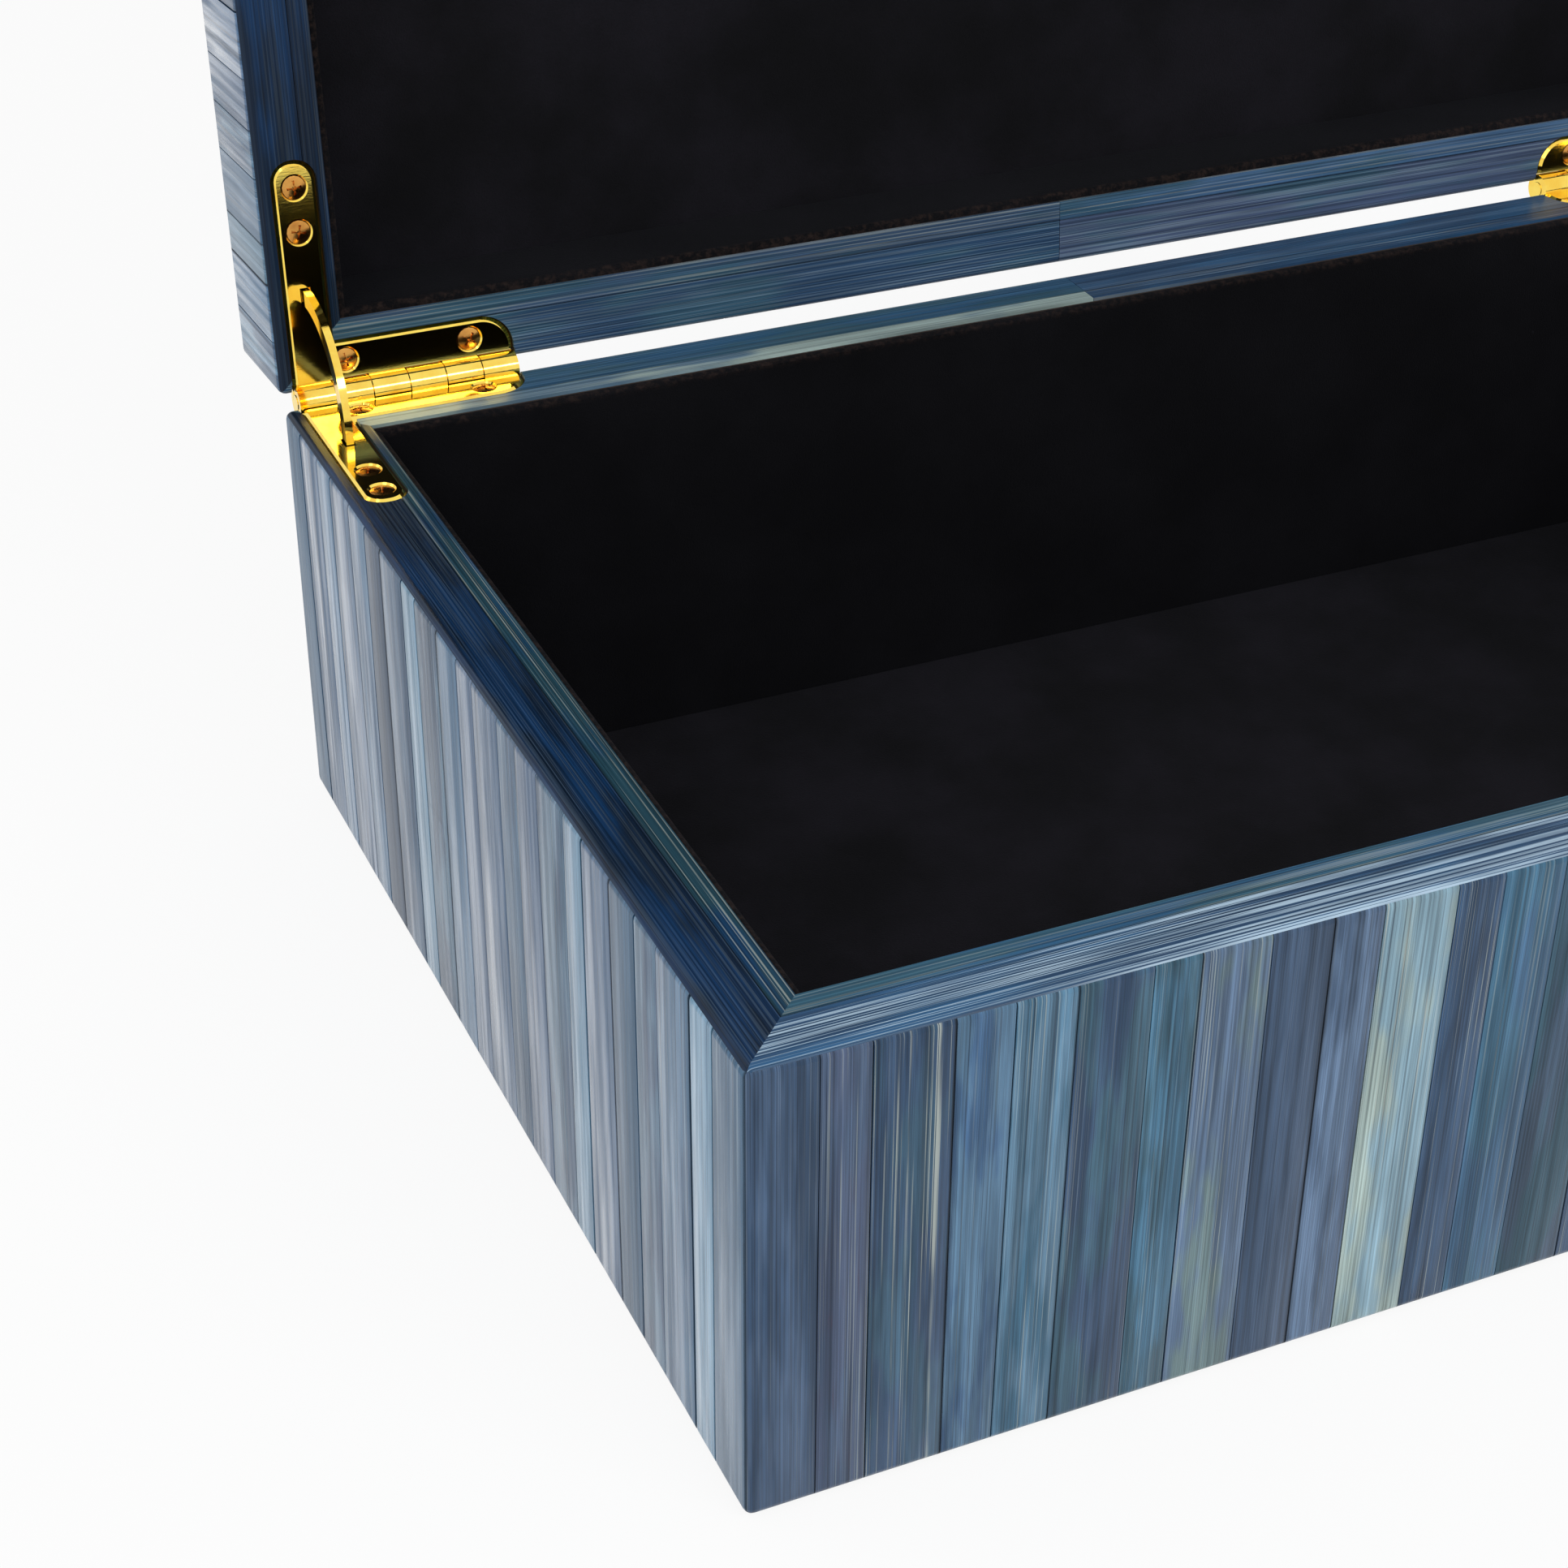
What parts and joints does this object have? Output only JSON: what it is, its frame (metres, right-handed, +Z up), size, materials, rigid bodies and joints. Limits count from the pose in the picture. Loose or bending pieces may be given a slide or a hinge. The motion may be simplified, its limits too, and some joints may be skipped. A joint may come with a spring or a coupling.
{
  "type": "keepsake box",
  "caption": "Rectangular keepsake box veneered with blue straw strips, lined in black velvet, with a lid that opens past upright on brass quadrant hinges with curved stays.",
  "frame": {"origin": "centre of the felt underside of the base", "axes": "+X to the right seen from the front, +Y to the back, where the hinges are, +Z up"},
  "size_m": [0.305, 0.2478, 0.2798],
  "materials": {
    "blue_straw": "satin lacquer over split straw",
    "pale_straw": "satin lacquer over split straw",
    "rim_straw": "satin lacquer over split straw",
    "core_board": "dark stained board",
    "lining_velvet": "short pile velvet",
    "base_felt": "felt",
    "hinge_brass": "mirror polished",
    "screw_brass": "polished"
  },
  "bodies": {
    "base": {"base_back_lining": "lining_velvet", "base_back_panel": "core_board", "base_back_rim": "rim_straw", "base_back_strips": "blue_straw", "base_bottom_panel": "core_board", "base_floor_lining": "lining_velvet", "base_front_lining": "lining_velvet", "base_front_panel": "core_board", "base_front_rim": "rim_straw", "base_front_strips": "blue_straw", "base_left_lining": "lining_velvet", "base_left_panel": "core_board", "base_left_rim": "rim_straw", "base_left_strips": "pale_straw", "base_right_lining": "lining_velvet", "base_right_panel": "core_board", "base_right_rim": "rim_straw", "base_right_strips": "pale_straw", "bottom_felt": "base_felt", "left_hinge_base_leaf": "hinge_brass", "left_hinge_base_screws": "screw_brass", "left_hinge_pin": "hinge_brass", "right_hinge_base_leaf": "hinge_brass", "right_hinge_base_screws": "screw_brass", "right_hinge_pin": "hinge_brass"},
    "lid": {"left_hinge_lid_leaf": "hinge_brass", "left_hinge_lid_screws": "screw_brass", "lid_back_lining": "lining_velvet", "lid_back_panel": "core_board", "lid_back_rim": "rim_straw", "lid_back_strips": "blue_straw", "lid_front_lining": "lining_velvet", "lid_front_panel": "core_board", "lid_front_rim": "rim_straw", "lid_front_strips": "blue_straw", "lid_left_lining": "lining_velvet", "lid_left_panel": "core_board", "lid_left_rim": "rim_straw", "lid_left_strips": "pale_straw", "lid_right_lining": "lining_velvet", "lid_right_panel": "core_board", "lid_right_rim": "rim_straw", "lid_right_strips": "pale_straw", "lid_top_lining": "lining_velvet", "lid_top_panel": "core_board", "lid_top_strips": "blue_straw", "right_hinge_lid_leaf": "hinge_brass", "right_hinge_lid_screws": "screw_brass"},
    "left_stay": {"left_hinge_stay": "hinge_brass"},
    "right_stay": {"right_hinge_stay": "hinge_brass"}
  },
  "joints": [
    {"name": "lid_hinge", "type": "hinge", "parent": "base", "child": "lid", "pos_m": [0, 0.103, 0.0762], "axis": [1, 0, 0], "range_deg": [0, 95]},
    {"name": "left_stay_swing", "type": "hinge", "parent": "base", "child": "left_stay", "pos_m": [0, 0.103, 0.0762], "axis": [1, 0, 0], "range_deg": [0, 47.5]},
    {"name": "right_stay_swing", "type": "hinge", "parent": "base", "child": "right_stay", "pos_m": [0, 0.103, 0.0762], "axis": [1, 0, 0], "range_deg": [0, 47.5]}
  ],
  "couplings": [
    {"joint": "left_stay_swing", "follows": "lid_hinge", "ratio": 0.5},
    {"joint": "right_stay_swing", "follows": "lid_hinge", "ratio": 0.5}
  ]
}
